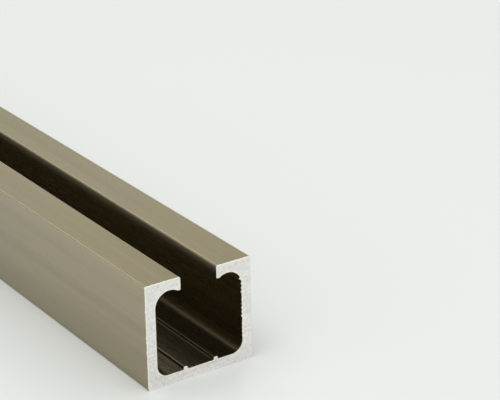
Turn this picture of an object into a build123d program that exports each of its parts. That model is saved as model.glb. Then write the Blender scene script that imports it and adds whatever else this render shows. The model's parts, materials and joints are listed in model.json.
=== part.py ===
"""A one-metre length of aluminium sliding-door track, extruded as a C-shaped channel and sawn square.

It lies on its web with the slot upward. The frame's origin is the middle of the web's outer face, with +X along
the length, +Y across the section and +Z from the web to the slot. All sizes are in millimetres.
"""

from build123d import *
import os

# Overall size
length = 1000.0
width = 33.0
height = 30.5

# Walls of the channel
side_wall = 2.9
web_thickness = 2.9
web_corner_radius = 3.5

# The two lips: each carries a round race for a wheel, between the side wall and a thicker tip
slot_width = 11.3
lip_thickness = 2.9
race_radius = 4.5
tip_thickness = 3.7
tip_land = 0.89

# Two small ribs on the inner face of the web
rib_spacing = 9.6
rib_width = 1.2
rib_height = 0.9

# Small radii that the die leaves on the edges
outer_edge_radius = 0.4
lip_edge_radius = 0.5
tip_edge_radius = 0.3
rib_edge_radius = 0.35
rib_root_radius = 0.25

# Places that follow from the sizes above
half_width = width / 2
half_cavity = half_width - side_wall
half_slot = slot_width / 2
lip_z = height - lip_thickness
tip_z = height - tip_thickness
race_top_y = half_cavity - race_radius
chamber_z = lip_z - race_radius
race_mouth_y = half_slot + tip_land
tip_radius = min(tip_edge_radius, 0.45 * tip_land)
NEAR = 1e-4


def block(y_min, y_max, z_min, z_max):
    """A rectangle of the section between two Y values and two Z values."""
    middle = Pos((y_min + y_max) / 2, (z_min + z_max) / 2)
    return middle * Rectangle(y_max - y_min, z_max - z_min)


def rounded(section, radius, wanted):
    """The section with a radius on each corner whose |Y| and Z pass the test in wanted."""
    corners = [v for v in section.vertices() if wanted(abs(v.X), v.Y)]
    return fillet(corners, radius)


def is_at(value, place):
    return abs(value - place) < NEAR


def chamber():
    """The wide space that the wheels roll in, rounded where the side walls meet the web."""
    shape = block(-half_cavity, half_cavity, web_thickness, chamber_z)
    return rounded(shape, web_corner_radius, lambda y, z: is_at(z, web_thickness))


def race_space():
    """Half the space above the chamber: the race curves up from the side wall, over its top and down to the tip."""
    wall_side = TangentArc((half_cavity, chamber_z), (race_top_y, lip_z), tangent=(0, 1))
    tip_side = TangentArc((race_top_y, lip_z), (race_mouth_y, tip_z), tangent=(-1, 0))
    between_tips = Polyline((race_mouth_y, tip_z), (0, tip_z), (0, chamber_z), (half_cavity, chamber_z))
    return make_face(wall_side + tip_side + between_tips)


def slot():
    """The opening between the lips, through which the hanger bolt passes."""
    return block(-half_slot, half_slot, chamber_z, height + lip_thickness)


def rib():
    """One rib of the web, standing on the web's inner face at half the rib spacing."""
    middle = rib_spacing / 2
    return block(middle - rib_width / 2, middle + rib_width / 2, web_thickness / 2, web_thickness + rib_height)


def channel_section():
    """The section of the channel without its ribs: outer box, less the chamber, races and slot."""
    races = race_space() + mirror(race_space(), Plane.YZ)
    section = block(-half_width, half_width, 0, height) - (chamber() + races + slot())
    section = rounded(section, outer_edge_radius, lambda y, z: is_at(y, half_width))
    section = rounded(section, lip_edge_radius, lambda y, z: is_at(y, half_slot) and is_at(z, height))
    return rounded(section, tip_radius, lambda y, z: half_slot - NEAR < y < race_top_y and is_at(z, tip_z))


def profile_section():
    """The whole section: the channel with both ribs, rounded at their roots and crests."""
    ribs = rib() + mirror(rib(), Plane.YZ)
    section = channel_section() + ribs
    rib_outer = (rib_spacing + rib_width) / 2 + NEAR
    section = rounded(section, rib_root_radius, lambda y, z: y < rib_outer and is_at(z, web_thickness))
    return rounded(section, rib_edge_radius, lambda y, z: y < rib_outer and is_at(z, web_thickness + rib_height))


def track_profile():
    """The section extruded along X, half its length each way from the origin."""
    return extrude(Plane.YZ * profile_section(), amount=length / 2, both=True)


os.makedirs("parts", exist_ok=True)
track = track_profile()
export_step(track, "parts/track_profile.step")

box = track.bounding_box()
print(f"size {box.size.X:.1f} x {box.size.Y:.1f} x {box.size.Z:.1f} mm, section area {track.volume / length:.1f} mm2")
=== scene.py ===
# %% [markdown]
# # A length of bronze-anodised sliding-door track
# The object is one metre of aluminium track for a hanging sliding door. A press pushed the hot metal
# through a steel die, so its C-shaped section is the same all along. It was then anodised bronze, and
# last of all sawn to length, which left both ends bare, bright and a little ragged.
# This lesson draws the die's outline with extrude and spin, pushes it to its full length, saws the ends,
# tears their edges, and finishes the metal. All sizes are in metres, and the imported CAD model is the
# frame that everything is set in.

# %% Load the frame
import json
import math
import random
import bpy
import bmesh
from mathutils import Matrix, Vector

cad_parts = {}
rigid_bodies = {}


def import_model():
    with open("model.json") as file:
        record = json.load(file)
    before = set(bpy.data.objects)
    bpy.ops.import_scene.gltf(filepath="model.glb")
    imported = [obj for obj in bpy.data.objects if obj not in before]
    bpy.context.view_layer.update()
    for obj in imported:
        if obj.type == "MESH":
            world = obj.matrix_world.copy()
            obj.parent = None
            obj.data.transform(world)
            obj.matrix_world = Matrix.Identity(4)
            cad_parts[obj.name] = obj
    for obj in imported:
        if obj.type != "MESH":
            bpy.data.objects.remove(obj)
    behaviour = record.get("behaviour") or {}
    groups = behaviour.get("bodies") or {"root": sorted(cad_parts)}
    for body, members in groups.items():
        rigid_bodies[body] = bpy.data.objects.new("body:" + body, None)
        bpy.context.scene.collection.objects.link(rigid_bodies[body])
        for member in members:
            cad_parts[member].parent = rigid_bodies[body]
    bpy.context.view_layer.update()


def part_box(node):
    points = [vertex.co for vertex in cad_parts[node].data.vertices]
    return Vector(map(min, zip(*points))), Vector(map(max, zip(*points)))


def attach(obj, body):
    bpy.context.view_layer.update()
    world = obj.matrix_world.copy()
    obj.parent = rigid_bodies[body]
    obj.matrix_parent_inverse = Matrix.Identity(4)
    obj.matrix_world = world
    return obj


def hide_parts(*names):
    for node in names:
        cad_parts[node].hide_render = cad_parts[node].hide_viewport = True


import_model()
low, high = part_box("track_profile")
length = high.x - low.x
width = high.y - low.y
height = high.z
mm = 0.001
print(f"track {length / mm:.0f} x {width / mm:.0f} x {height / mm:.1f} mm")

# %% [markdown]
# ## The camera
# The photograph was taken with a long lens from above the near end, so the edges of the track run
# together only slowly. The camera stands on the side of the near end, at positive X, and looks down along
# the track. It was held a little crooked, which the roll repeats.

# %% Set the camera
camera_place = (0.8762, -0.2370, 0.2402)
camera_heading = math.radians(56.0)
camera_pitch = math.radians(23.1)
camera_roll = math.radians(-0.96)
camera_lens = 134.6

turn = Matrix.Rotation(camera_heading, 3, "Z") @ Matrix.Rotation(math.pi / 2 - camera_pitch, 3, "X")
turn = turn @ Matrix.Rotation(camera_roll, 3, "Z")
bpy.ops.object.select_all(action="DESELECT")
bpy.ops.object.camera_add(location=camera_place, rotation=turn.to_euler())
camera = bpy.context.object
camera.data.lens = camera_lens
bpy.context.scene.camera = camera
print("camera at", [round(x, 3) for x in camera.location])

# %% [markdown]
# ## The section's sizes
# These are the sizes of the hole in the die. The lips carry the door's wheels, so each has a round race
# under it, and each ends in a tip a little thicker than the race's crown. The two small ribs on the web
# mark where it is drilled, and stop the drill from wandering. The die leaves a small radius on every
# edge. On the long outer edges it is a tenth of a millimetre smaller than in the CAD model, which keeps
# the line of reflection there thin.

# %% Give the sizes of the section
side_wall = 2.9 * mm
web = 2.9 * mm
web_corner = 3.5 * mm
half_slot = 5.65 * mm
lip = 2.9 * mm
race = 4.5 * mm
tip = 3.7 * mm
outer_edge = 0.3 * mm
lip_edge = 0.5 * mm
tip_edge = 0.3 * mm
rib_middle = 4.8 * mm
rib_width = 1.2 * mm
rib_height = 0.9 * mm
rib_edge = 0.35 * mm
rib_root = 0.25 * mm

wall_y = width / 2
inner_y = wall_y - side_wall
race_y = inner_y - race
race_z = height - lip - race
tip_z = height - tip
print(f"chamber {2 * inner_y / mm:.1f} mm wide, slot {2 * half_slot / mm:.1f} mm wide")

# %% [markdown]
# ## A pen that draws the outline
# A profile is drawn as a draughtsman would, with one pen and no lifting: a straight stretch is a vertex
# extruded step by step, and a round one is the same vertex spun about the centre of its radius. The pen
# works in the plane of the near end. Straight stretches are drawn in short steps, because the saw frays
# the edge between them later. Spin turns clockwise as seen along its axis, so an axis along -X makes a
# positive angle anticlockwise from +X.

# %% Make the pen
near_end = high.x
step = 0.4 * mm
arc_step = math.radians(9)
fewest_arc_steps = 3
pen = [0.0, 0.0]


def put_pen(y, z):
    bpy.ops.object.select_all(action="DESELECT")
    bpy.ops.mesh.primitive_plane_add(size=step, location=(near_end, y, z))
    bpy.ops.object.transform_apply(location=True)
    bpy.ops.object.mode_set(mode="EDIT")
    bpy.ops.mesh.merge(type="CENTER")
    pen[:] = [y, z]


def line_to(y, z):
    steps = max(1, round(math.hypot(y - pen[0], z - pen[1]) / step))
    move = (0, (y - pen[0]) / steps, (z - pen[1]) / steps)
    for _ in range(steps):
        bpy.ops.mesh.extrude_vertices_move(TRANSFORM_OT_translate={"value": move})
    pen[:] = [y, z]


def arc_about(y, z, degrees):
    angle = math.radians(degrees)
    out_y = pen[0] - y
    out_z = pen[1] - z
    steps_per_radian = max(1 / arc_step, math.hypot(out_y, out_z) / step)
    steps = max(fewest_arc_steps, round(abs(angle) * steps_per_radian))
    bpy.ops.mesh.spin(steps=steps, angle=angle, center=(near_end, y, z), axis=(-1, 0, 0))
    end_y = y + out_y * math.cos(angle) - out_z * math.sin(angle)
    end_z = z + out_y * math.sin(angle) + out_z * math.cos(angle)
    pen[:] = [end_y, end_z]


def pen_place():
    return [round(x / mm, 3) for x in pen]


print(f"the pen steps {step / mm:.1f} mm at a time")

# %% [markdown]
# ## Half of the outline
# The section is the same on both sides, so the pen draws one half: out along the underside of the web, up
# the side, in over the lip, round the tip, over the race, down the inside and back over the rib to the
# middle. The tip's inner corner is a small radius that touches both the flat of the tip and the race. Its
# centre is one small radius above the flat, and a race radius and a small radius away from the race's
# centre.

# %% Draw the outer side, the lip and the tip
put_pen(0, 0)
line_to(wall_y - outer_edge, 0)
arc_about(wall_y - outer_edge, outer_edge, 90)
line_to(wall_y, height - outer_edge)
arc_about(wall_y - outer_edge, height - outer_edge, 90)
line_to(half_slot + lip_edge, height)
arc_about(half_slot + lip_edge, height - lip_edge, 90)
line_to(half_slot, tip_z + tip_edge)
arc_about(half_slot + tip_edge, tip_z + tip_edge, 90)
print("the tip is drawn as far as", pen_place())

# %% Draw the race and the inside wall
rise = tip_z + tip_edge - race_z
mouth_y = race_y - math.sqrt((race + tip_edge) ** 2 - rise**2)
mouth_angle = math.degrees(math.acos(rise / (race + tip_edge)))

line_to(mouth_y, tip_z)
arc_about(mouth_y, tip_z + tip_edge, mouth_angle)
arc_about(race_y, race_z, -(90 + mouth_angle))
line_to(inner_y, web + web_corner)
arc_about(inner_y - web_corner, web + web_corner, -90)
print("the inside wall is drawn as far as", pen_place())

# %% Draw the rib and reach the middle
rib_outer = rib_middle + rib_width / 2
rib_inner = rib_middle - rib_width / 2
rib_top = web + rib_height

line_to(rib_outer + rib_root, web)
arc_about(rib_outer + rib_root, web + rib_root, -90)
line_to(rib_outer, rib_top - rib_edge)
arc_about(rib_outer - rib_edge, rib_top - rib_edge, 90)
line_to(rib_inner + rib_edge, rib_top)
arc_about(rib_inner + rib_edge, rib_top - rib_edge, 90)
line_to(rib_inner, web + rib_root)
arc_about(rib_inner - rib_root, web + rib_root, -90)
line_to(0, web)
bpy.ops.object.mode_set(mode="OBJECT")
track = bpy.context.object
track.name = "track"
print("half outline", len(track.data.vertices), "points, ending at", pen_place())

# %% [markdown]
# ## The whole section
# A mirror modifier makes the other half and joins the two at the middle. The closed outline is then
# filled with one face, which is the near end of the track before the saw.

# %% Mirror and fill
mirror = track.modifiers.new("other half", "MIRROR")
mirror.use_axis = (False, True, False)
mirror.merge_threshold = 0.01 * mm
bpy.ops.object.modifier_apply(modifier=mirror.name)
bpy.ops.object.mode_set(mode="EDIT")
bpy.ops.mesh.select_all(action="SELECT")
bpy.ops.mesh.edge_face_add()
bpy.ops.object.mode_set(mode="OBJECT")
section_area = sum(face.area for face in track.data.polygons)
print(f"outline {len(track.data.vertices)} points, section {section_area / mm**2:.1f} square mm")

# %% [markdown]
# ## Push the section through to its full length
# The face is extruded along X, as the press does it. Close to each end there are two narrow rings. The
# outer one is as deep as the saw tears the anodised skin, and the next keeps that damage from reaching
# further. Between them the length is divided evenly, so that no face is extremely long and thin.

# %% Extrude the track
torn = 0.25 * mm
sound = 0.4 * mm
bays = 20
bay = (length - 2 * (torn + sound)) / bays

bpy.ops.object.mode_set(mode="EDIT")
bpy.ops.mesh.select_mode(type="FACE")
bpy.ops.mesh.select_all(action="SELECT")
for distance in [torn, sound] + [bay] * bays + [sound, torn]:
    bpy.ops.mesh.extrude_region_move(TRANSFORM_OT_translate={"value": (-distance, 0, 0)})
bpy.ops.mesh.select_all(action="SELECT")
bpy.ops.mesh.normals_make_consistent(inside=False)
print("extruded", len(bmesh.from_edit_mesh(track.data).faces), "faces")

# %% [markdown]
# ## Choose faces and points, and keep places for the finishes
# By hand one would click on the faces at an end. In a script they are chosen by a test of their place.
# The track has four finishes, so its mesh gets four empty material slots now, and faces are put into them
# as they are made: the brushed skin outside, the plain skin inside, the sawn metal, and the bright burr
# along its edges.

# %% Make the chooser and the slots
finishes = 4
outside, inside, cut, burr = range(finishes)
for _ in range(finishes):
    track.data.materials.append(None)


def pick(kind, test):
    """Selects the faces or vertices of the track, in edit mode, that pass a test."""
    bpy.ops.mesh.select_mode(type="FACE" if kind == "faces" else "VERT")
    bpy.ops.mesh.select_all(action="DESELECT")
    mesh = bmesh.from_edit_mesh(track.data)
    found = [item for item in getattr(mesh, kind) if test(item)]
    for item in found:
        item.select_set(True)
    if kind == "verts":
        mesh.select_flush(True)
    bmesh.update_edit_mesh(track.data)
    return len(found)


def put_in_slot(slot):
    track.active_material_index = slot
    bpy.ops.object.material_slot_assign()


def looks_sideways(face):
    """Whether a face is on the length of the track, and not on an end."""
    return abs(face.normal.x) < 0.3


def faces_the_channel(face):
    place = face.calc_center_median()
    between_walls = abs(place.y) < inner_y + step
    below_the_top = web - step < place.z < height - lip_edge
    return between_walls and below_the_top and looks_sideways(face)


print("faces of the channel", pick("faces", faces_the_channel))
put_in_slot(inside)

# %% [markdown]
# ## The burr and the saw's grooves
# A circular saw cuts the track across. Round the edges where its teeth leave the metal it turns up a
# burr, a rounded ridge a few hundredths of a millimetre high. Two insets make it, one moved out to the
# crest and one moved back. Inside it each tooth leaves a groove up to about a hundredth deep, and the feed
# sets their spacing: everything else is hidden and the face is bisected line by line. Bisect leaves the
# new line selected, so it is moved straight away. The teeth enter by the web's underside and by one side
# wall, whose edges stay clean, and the burr's bright metal goes on all the others.

# %% Saw the ends
crest_inset = 0.1 * mm
foot_inset = 0.19 * mm
crest_height = 0.05 * mm
feed = 0.55 * mm
uneven_feed = (0.7, 1.3)
groove_depth = 0.014 * mm
groove_tilt = math.radians(5)
chance = random.Random(5)


def raise_burr(side):
    end = side * length / 2
    pick("faces", lambda face: abs(face.calc_center_median().x - end) < torn / 3)
    put_in_slot(cut)
    for thickness, rise in ((crest_inset, crest_height), (foot_inset, -crest_height)):
        bpy.ops.mesh.inset(thickness=thickness)
        bpy.ops.transform.translate(value=(side * rise, 0, 0))


def cut_grooves(side):
    bpy.ops.mesh.hide(unselected=True)
    z = -feed
    grooves = 0
    while z < height + width * math.sin(groove_tilt):
        z += feed * chance.uniform(*uneven_feed)
        bpy.ops.mesh.select_all(action="SELECT")
        across = (0, math.sin(groove_tilt), math.cos(groove_tilt))
        bpy.ops.mesh.bisect(plane_co=(side * length / 2, wall_y, z), plane_no=across)
        bpy.ops.transform.translate(value=(-side * chance.uniform(0, groove_depth), 0, 0))
        grooves += 1
    bpy.ops.mesh.reveal(select=False)
    return grooves


def on_the_burr(face):
    place = face.calc_center_median()
    depth = length / 2 - abs(place.x)
    at_exit = place.y < wall_y - 2 * foot_inset and place.z > 2 * foot_inset
    on_the_ridge = depth < -crest_height / 4
    on_the_torn_ring = torn / 3 < depth < torn
    return at_exit and (on_the_ridge or on_the_torn_ring)


for side in (1, -1):
    raise_burr(side)
    print("end", side, "has", cut_grooves(side), "grooves")
print("faces of the burr", pick("faces", on_the_burr))
put_in_slot(burr)

# %% [markdown]
# ## Torn edges
# The sawn edge is a little uneven everywhere, so the randomize operator moves its points a few hundredths
# of a millimetre. It is ragged in two places. The inner edge of the right wall has small teeth: every
# third point is pulled out, and a random share of those further. They are drawn a little coarser than
# real ones, just over a millimetre apart and up to 0.4 mm deep, because finer ones vanish at the size of
# the picture. The outer edge of the left wall has lower and wider swellings two or three millimetres
# apart, for which a random share of the points is pulled and takes its neighbours along. One longer tag
# hangs into the right race.

# %% Tear the edges
wobble = 0.03 * mm
skin_wobble = 0.07 * mm
tooth_every = 3
tooth_pulls = [(3, 0.8, 0.19 * mm), (8, 0.5, 0.13 * mm), (14, 0.3, 0.1 * mm)]
swelling_pulls = [(5, 0.14, 0.16 * mm), (21, 0.1, 0.14 * mm)]
swelling_spread = 0.9 * mm
tag_at = Vector((length / 2, inner_y - 0.25 * mm, race_z + 1.5 * mm))
tag_reach = (0.0, -0.6 * mm, 0.05 * mm)


def on_outline(vert, depth=0.0):
    at_depth = abs(length / 2 - depth - abs(vert.co.x)) < torn / 3
    return at_depth and any(looks_sideways(face) for face in vert.link_faces)


def on_tooth_edge(vert):
    up_the_wall = web + web_corner < vert.co.z < race_z + race / 3
    at_a_tooth = vert.co.z / (tooth_every * step) % 1 < 1 / tooth_every
    return on_outline(vert) and up_the_wall and at_a_tooth and abs(vert.co.y - inner_y) < torn


def on_swelling_edge(vert):
    return on_outline(vert) and web / 2 < vert.co.z < height - web and vert.co.y < -wall_y + torn


def shake(seed, offset, test):
    count = pick("verts", test)
    bpy.ops.transform.vertex_random(offset=offset, uniform=0, normal=0, seed=seed)
    return count


def pull(test, pulls, spread=0.0):
    count = pick("verts", test)
    bpy.ops.mesh.hide(unselected=True)
    for seed, share, reach in pulls:
        bpy.ops.mesh.select_all(action="DESELECT")
        bpy.ops.mesh.select_random(ratio=share, seed=seed)
        bpy.ops.transform.translate(
            value=(0, -reach, 0), use_proportional_edit=spread > 0, proportional_size=max(spread, step))
    bpy.ops.mesh.reveal(select=False)
    return count


tag_points = pick("verts", lambda vert: on_outline(vert) and (vert.co - tag_at).length < step / 2)
bpy.ops.transform.translate(value=tag_reach)
print("tag", tag_points, "teeth", pull(on_tooth_edge, tooth_pulls))
print("swelling edge", pull(on_swelling_edge, swelling_pulls, swelling_spread))
print("edge", shake(11, wobble, on_outline))
print("skin", shake(23, skin_wobble, lambda vert: on_outline(vert, torn)))
bpy.ops.object.mode_set(mode="OBJECT")

# %% [markdown]
# ## Soft and crisp shading
# The radii of the die are short runs of flat faces, so they are shaded smooth. Anything sharper than the
# limit stays crisp, and so does the edge between the skin and the cut.

# %% Shade by angle
crisp_angle = math.radians(35)

bpy.ops.object.select_all(action="DESELECT")
track.select_set(True)
bpy.context.view_layer.objects.active = track
bpy.ops.object.shade_smooth_by_angle(angle=crisp_angle)
print("faces", len(track.data.polygons), "points", len(track.data.vertices))

# %% [markdown]
# ## Helpers for materials
# Colours are written as they look on a screen, in hex, and turned to the linear values that a shader
# needs. One function adds a node, sets its values and joins its inputs.

# %% Colour and node helpers
noise_range = {"From Min": 0.3, "From Max": 0.7}  # noise seldom goes outside it


def linear(hex_colour):
    channels = [int(hex_colour[i:i + 2], 16) / 255 for i in (1, 3, 5)]
    return [c / 12.92 if c <= 0.04045 else ((c + 0.055) / 1.055) ** 2.4 for c in channels] + [1]


def add(tree, kind, values=None, links=None, **settings):
    node = tree.nodes.new(kind)
    for name, value in settings.items():
        setattr(node, name, value)
    for name, value in (values or {}).items():
        node.inputs[name].default_value = value
    for name, source in (links or {}).items():
        tree.links.new(source, node.inputs[name])
    return node


def new_material(name):
    material = bpy.data.materials.new(name)
    material.use_nodes = True
    material.node_tree.nodes.clear()
    return material, material.node_tree


def stretched_noise(tree, sizes, detail, tilt=0.0):
    """Noise whose blotches have the given real sizes along X, Y and Z, turned about X by the tilt."""
    place = add(tree, "ShaderNodeTexCoord").outputs["Object"]
    scale = tuple(1 / size for size in sizes)
    turned = add(tree, "ShaderNodeMapping", {"Rotation": (tilt, 0, 0)}, {"Vector": place})
    sized = add(tree, "ShaderNodeMapping", {"Scale": scale}, {"Vector": turned.outputs[0]})
    noise = add(tree, "ShaderNodeTexNoise", {"Scale": 1.0, "Detail": detail}, {"Vector": sized.outputs[0]})
    return noise.outputs["Fac"]


print("a middle grey", [round(c, 3) for c in linear("#808080")[:3]])

# %% [markdown]
# ## Bronze-anodised aluminium
# Anodising grows a thin hard skin of oxide on the metal and dyes it. The metal shines through the dye, so
# it is a metal with a bronze colour, not a paint. Before the bath the outside is brushed along its
# length, and its fine lines spread a reflection across themselves far more than along themselves, which
# is an anisotropic finish. The tangent runs round the section, across the lines. The brush can't reach
# inside the channel, so the metal there is as the die left it, with the die's own fine lines along it.
# Its colour there is a shade darker, which is painted shade. On both, thin streaks vary the shine, and
# bands a few millimetres wide come from the flow in the die. The colour is also darker towards the foot
# and paler towards the top, which is painted shade and painted light. The lips are tinted a little
# warmer. Their long edges are duller, and paler, partly from wear by the brush and partly as a painted
# highlight. A few millimetres down into the slot its walls are duller too, and paler, which is painted
# light at the slot's mouth.

# %% Give the skin's sizes, colours and shine
line_length = 60 * mm
line_pitch = 0.5 * mm  # real lines are taken to be under 0.1 mm apart, too fine to show
line_depth = 0.0015 * mm
inner_line_depth = 0.0006 * mm
band_length = 200 * mm
band_width = 5 * mm
bronze = ("#9c947c", "#aea58d")
# The lips' long edges are paler: partly wear, partly a painted highlight.
worn_and_highlight_bronze = "#cdc3a8"
worn_and_highlight_width = 0.6 * mm
brushed_roughness = (0.23, 0.28)
# The inside's colours are darker than the outside's: painted shade in the channel.
painted_shade_inner_bronze = ("#887b60", "#998e73")
# Inside, the slot's walls are paler towards their mouth: painted light there, where they are rubbed
# duller.
rubbed_and_painted_light_bronze = "#b8ad91"
rubbed_and_painted_light_depth = 2.8 * mm
inner_roughness = (0.26, 0.3)
one_way = 0.8
worn_roughness = 0.2
lip_tint = "#f7f2e2"
# The skin is made darker towards the foot and paler towards the top: painted shade and painted light.
painted_shade_at_foot = -0.25  # added to the bands' noise there, so the skin is a little darker lower down
painted_light_at_top = 0.2
bronze_span = (0.2, 0.8)
print(f"lines {line_pitch / mm:.1f} mm apart, bands {band_width / mm:.0f} mm wide")

# %% Make the anodised skin
def lips_and_edges(tree, depth):
    """How near a point is to the top of the lips, and to one of their long edges, from 0 to 1."""
    place = add(tree, "ShaderNodeTexCoord").outputs["Object"]
    parts = add(tree, "ShaderNodeSeparateXYZ", links={0: place}).outputs
    sideways = add(tree, "ShaderNodeMath", links={0: parts["Y"]}, operation="ABSOLUTE").outputs[0]
    near_top = {"From Min": height - depth, "From Max": height}
    near_wall = {"From Min": wall_y - worn_and_highlight_width, "From Max": wall_y}
    near_slot = {"From Min": half_slot, "From Max": half_slot + worn_and_highlight_width, "To Min": 1.0, "To Max": 0.0}
    top = add(tree, "ShaderNodeMapRange", near_top, {"Value": parts["Z"]}).outputs[0]
    outer = add(tree, "ShaderNodeMapRange", near_wall, {"Value": sideways}).outputs[0]
    inner = add(tree, "ShaderNodeMapRange", near_slot, {"Value": sideways}).outputs[0]
    either = add(tree, "ShaderNodeMath", links={0: outer, 1: inner}, operation="MAXIMUM").outputs[0]
    edge = add(tree, "ShaderNodeMath", links={0: either, 1: top}, operation="MULTIPLY").outputs[0]
    return parts["Z"], top, edge


def bronze_colour(tree, colours, wear_and_painted_light_colour, up, top, edge):
    bands = stretched_noise(tree, (band_length, band_width, band_width), detail=2.0)
    # Darker towards the foot and paler towards the top: painted shade and painted light.
    by_height = {"From Max": height, "To Min": painted_shade_at_foot, "To Max": painted_light_at_top}
    painted_light_and_shade_by_height = add(tree, "ShaderNodeMapRange", by_height, {"Value": up})
    tone = add(tree, "ShaderNodeMath", links={0: bands, 1: painted_light_and_shade_by_height.outputs[0]}, operation="ADD")
    ramp = add(tree, "ShaderNodeValToRGB", links={"Fac": tone.outputs[0]})
    for element, position, colour in zip(ramp.color_ramp.elements, bronze_span, colours):
        element.position = position
        element.color = linear(colour)
    # A Mix node's colour sockets are its inputs 6 and 7 and its output 2
    warm = add(tree, "ShaderNodeMix", {7: linear(lip_tint)}, {0: top, 6: ramp.outputs["Color"]},
               data_type="RGBA", blend_type="MULTIPLY")
    # Paler towards the long edges and the slot's mouth: partly wear, partly painted highlight and painted
    # light.
    return add(tree, "ShaderNodeMix", {7: linear(wear_and_painted_light_colour)}, {0: edge, 6: warm.outputs[2]},
               data_type="RGBA").outputs[2]


def anodised(name, colours, roughness, bump_depth, wear_and_painted_light_colour, wear_and_painted_light_depth):
    material, tree = new_material(name)
    up, top, edge = lips_and_edges(tree, wear_and_painted_light_depth)
    lines = stretched_noise(tree, (line_length, line_pitch, line_pitch), detail=4.0)
    shine = {**noise_range, "To Min": roughness[0], "To Max": roughness[1]}
    flat = add(tree, "ShaderNodeMapRange", shine, {"Value": lines}).outputs[0]
    rough = add(tree, "ShaderNodeMath", {1: worn_roughness}, {0: edge, 2: flat}, operation="MULTIPLY_ADD")
    bump = add(tree, "ShaderNodeBump", {"Distance": bump_depth}, {"Height": lines})
    across = add(tree, "ShaderNodeTangent", direction_type="RADIAL", axis="X")
    colour = bronze_colour(tree, colours, wear_and_painted_light_colour, up, top, edge)
    shader = add(tree, "ShaderNodeBsdfPrincipled", {"Metallic": 1.0, "Anisotropic": one_way}, {
        "Base Color": colour, "Roughness": rough.outputs[0],
        "Normal": bump.outputs[0], "Tangent": across.outputs[0]})
    add(tree, "ShaderNodeOutputMaterial", links={"Surface": shader.outputs[0]})
    return material


brushed_name = "bronze-anodised aluminium, brushed"
inner_name = "bronze-anodised aluminium, as extruded"
track.data.materials[outside] = anodised(
    brushed_name, bronze, brushed_roughness, line_depth, worn_and_highlight_bronze, worn_and_highlight_width)
track.data.materials[inside] = anodised(
    inner_name, painted_shade_inner_bronze, inner_roughness, inner_line_depth, rubbed_and_painted_light_bronze, rubbed_and_painted_light_depth)
print("skins", brushed_name, "and", inner_name)

# %% [markdown]
# ## Aluminium as sawn
# The cut has no skin, so it is the metal's own near-white grey. The blade's teeth scour it finely in line
# with its grooves, which scatters light and leaves it satin, with paler and duller streaks. Where a tooth
# picked up metal and smeared it, there are small speckles between them.

# %% Make the sawn metal
streak_length = 9 * mm
streak_width = 0.28 * mm
speckle = 0.7 * mm
speckle_share = 0.5
scour_depth = 0.02 * mm
sawn_greys = ("#e2e0de", "#fdfaf9")
sawn_span = (0.35, 0.65)
sawn_roughness = (0.4, 0.6)


def sawn():
    material, tree = new_material("bare aluminium as sawn")
    scour_sizes = (line_length, streak_length, streak_width)
    scour = stretched_noise(tree, scour_sizes, detail=3.0, tilt=-groove_tilt)
    speckles = stretched_noise(tree, (speckle, speckle, speckle), detail=2.0)
    # A Mix node's number sockets are its inputs 2 and 3 and its output 0
    marks = add(tree, "ShaderNodeMix", {0: speckle_share}, {2: scour, 3: speckles}).outputs[0]
    ramp = add(tree, "ShaderNodeValToRGB", links={"Fac": marks})
    for element, position, colour in zip(ramp.color_ramp.elements, sawn_span, sawn_greys):
        element.position = position
        element.color = linear(colour)
    shine = {**noise_range, "To Min": sawn_roughness[0], "To Max": sawn_roughness[1]}
    rough = add(tree, "ShaderNodeMapRange", shine, {"Value": scour})
    bump = add(tree, "ShaderNodeBump", {"Distance": scour_depth}, {"Height": scour})
    shader = add(tree, "ShaderNodeBsdfPrincipled", {"Metallic": 1.0}, {
        "Base Color": ramp.outputs["Color"], "Roughness": rough.outputs[0], "Normal": bump.outputs[0]})
    add(tree, "ShaderNodeOutputMaterial", links={"Surface": shader.outputs[0]})
    return material


track.data.materials[cut] = sawn()
print("cut", track.data.materials[cut].name)

# %% [markdown]
# ## The burr's bright metal
# The flank of the blade rubs the burr as it passes, which leaves clean, freshly turned metal. It is the
# brightest part of the track: almost white, faintly warm, and broken up by crumbs a few tenths of a
# millimetre across. Its colour is whiter than the cut's, partly for the fresh metal and partly as a
# painted highlight along the edges.

# %% Make the burr's metal
crumb = 0.5 * mm
crumb_depth = 0.02 * mm
# The burr is whiter than the cut: partly fresh metal, partly a painted highlight.
burr_white_and_highlight = "#fdfaf0"
burr_roughness = 0.5


def burnished_with_painted_highlight():
    material, tree = new_material("bare aluminium burr")
    crumbs = stretched_noise(tree, (crumb, crumb, crumb), detail=3.0)
    bump = add(tree, "ShaderNodeBump", {"Distance": crumb_depth}, {"Height": crumbs})
    values = {"Metallic": 1.0, "Base Color": linear(burr_white_and_highlight), "Roughness": burr_roughness}
    shader = add(tree, "ShaderNodeBsdfPrincipled", values, {"Normal": bump.outputs[0]})
    add(tree, "ShaderNodeOutputMaterial", links={"Surface": shader.outputs[0]})
    return material


track.data.materials[burr] = burnished_with_painted_highlight()
print("burr", track.data.materials[burr].name)

# %% [markdown]
# ## Set the track in the frame
# The track is one piece of metal and has no joints, so it rides on the root body and stands for the one
# CAD node. Its own mesh replaces that node because the burr, the grooves and the torn edges are part of
# the same metal.

# %% Ride and replace
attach(track, "root")
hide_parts("track_profile")
print("track stands for the CAD node track_profile")

# %% [markdown]
# ## The floor
# The track lies on a sheet of white acrylic, which takes a soft shadow and a faint reflection. It isn't
# part of the object.

# %% Lay the floor
floor_size = 20.0
acrylic_white = "#e9eae9"
acrylic_roughness = 0.25
acrylic_ior = 1.3  # below acrylic's own 1.49, for a fainter reflection


def acrylic():
    material, tree = new_material("white acrylic sheet")
    values = {"Base Color": linear(acrylic_white), "Roughness": acrylic_roughness, "IOR": acrylic_ior}
    shader = add(tree, "ShaderNodeBsdfPrincipled", values)
    add(tree, "ShaderNodeOutputMaterial", links={"Surface": shader.outputs[0]})
    return material


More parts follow.
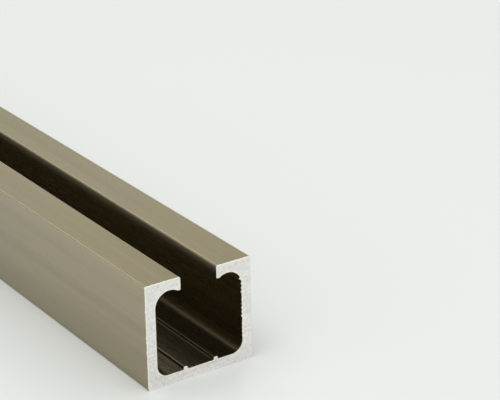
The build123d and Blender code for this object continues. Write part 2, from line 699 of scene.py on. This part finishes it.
bpy.ops.object.select_all(action="DESELECT")
bpy.ops.mesh.primitive_plane_add(size=floor_size, location=(0, 0, 0))
bpy.ops.object.transform_apply(location=True)
floor = bpy.context.object
floor.name = "floor"
floor.data.materials.append(acrylic())
print("floor", floor.dimensions.x, "m square")

# %% [markdown]
# ## The lamps
# A large softbox hangs over the track and a little to its left, so the shadow falls to the right and is
# soft. A small weak one stands high up behind the far end and a little to the right. Its light grazes the
# lips, and falls through the slot into the channel.

# %% Hang the lamps
subject = Vector((0.4, 0, 0))


def softbox(name, place, size, power):
    bpy.ops.object.select_all(action="DESELECT")
    bpy.ops.object.light_add(type="AREA", location=place)
    light = bpy.context.object
    light.name = name
    light.data.size = size
    light.data.energy = power
    light.rotation_euler = (Vector(place) - subject).to_track_quat("Z", "Y").to_euler()
    print(name, power, "W from", place)


softbox("key", place=(0.35, -0.25, 1.4), size=1.0, power=5)
softbox("back", place=(-0.8, 0.27, 1.01), size=0.4, power=0.6)

# %% [markdown]
# ## The studio around it
# Metal shows its surroundings, so they are half of its finish. The camera sees a plain pale background.
# The track mirrors a studio that is as pale, and a little dimmer towards its far end. A dark flag hangs
# there, high up and to the left, which is a black cloth as photographers use them: the inside of the
# channel mirrors it, and is almost black.

# %% Surround it with the studio
flag_towards = (-0.755, -0.456, 0.472)
flag_full = math.cos(math.radians(10))
flag_edge = math.cos(math.radians(18))
flag_dark = 0.005
far_full = -0.7
far_edge = -0.3
far_light = 0.8
near_light = 1.05
studio_white = "#eef0ed"

world = bpy.data.worlds.new("studio")
bpy.context.scene.world = world
world.use_nodes = True
tree = world.node_tree
tree.nodes.clear()
towards = add(tree, "ShaderNodeTexCoord").outputs["Generated"]
near_flag = add(tree, "ShaderNodeVectorMath", {1: flag_towards}, {0: towards}, operation="DOT_PRODUCT")
flag = add(tree, "ShaderNodeMapRange", {
    "From Min": flag_edge, "From Max": flag_full, "To Min": 1.0, "To Max": flag_dark,
}, {"Value": near_flag.outputs["Value"]}, interpolation_type="SMOOTHSTEP")
along = add(tree, "ShaderNodeSeparateXYZ", links={0: towards}).outputs["X"]
far = add(tree, "ShaderNodeMapRange", {
    "From Min": far_full, "From Max": far_edge, "To Min": far_light, "To Max": near_light,
}, {"Value": along}, interpolation_type="SMOOTHSTEP")
sky = add(tree, "ShaderNodeMath", links={0: flag.outputs[0], 1: far.outputs[0]}, operation="MULTIPLY")
seen = add(tree, "ShaderNodeLightPath").outputs["Is Camera Ray"]
strength = add(tree, "ShaderNodeMapRange", {"To Max": 1.0}, {"Value": seen, "To Min": sky.outputs[0]})
white = linear(studio_white)
studio = add(tree, "ShaderNodeBackground", {"Color": white}, {"Strength": strength.outputs[0]})
add(tree, "ShaderNodeOutputWorld", links={"Surface": studio.outputs[0]})
print("studio with", len(tree.nodes), "nodes")

# %% [markdown]
# ## Finish
# The colours go to the picture as they are.

# %% Finish
bpy.context.scene.view_settings.view_transform = "Standard"
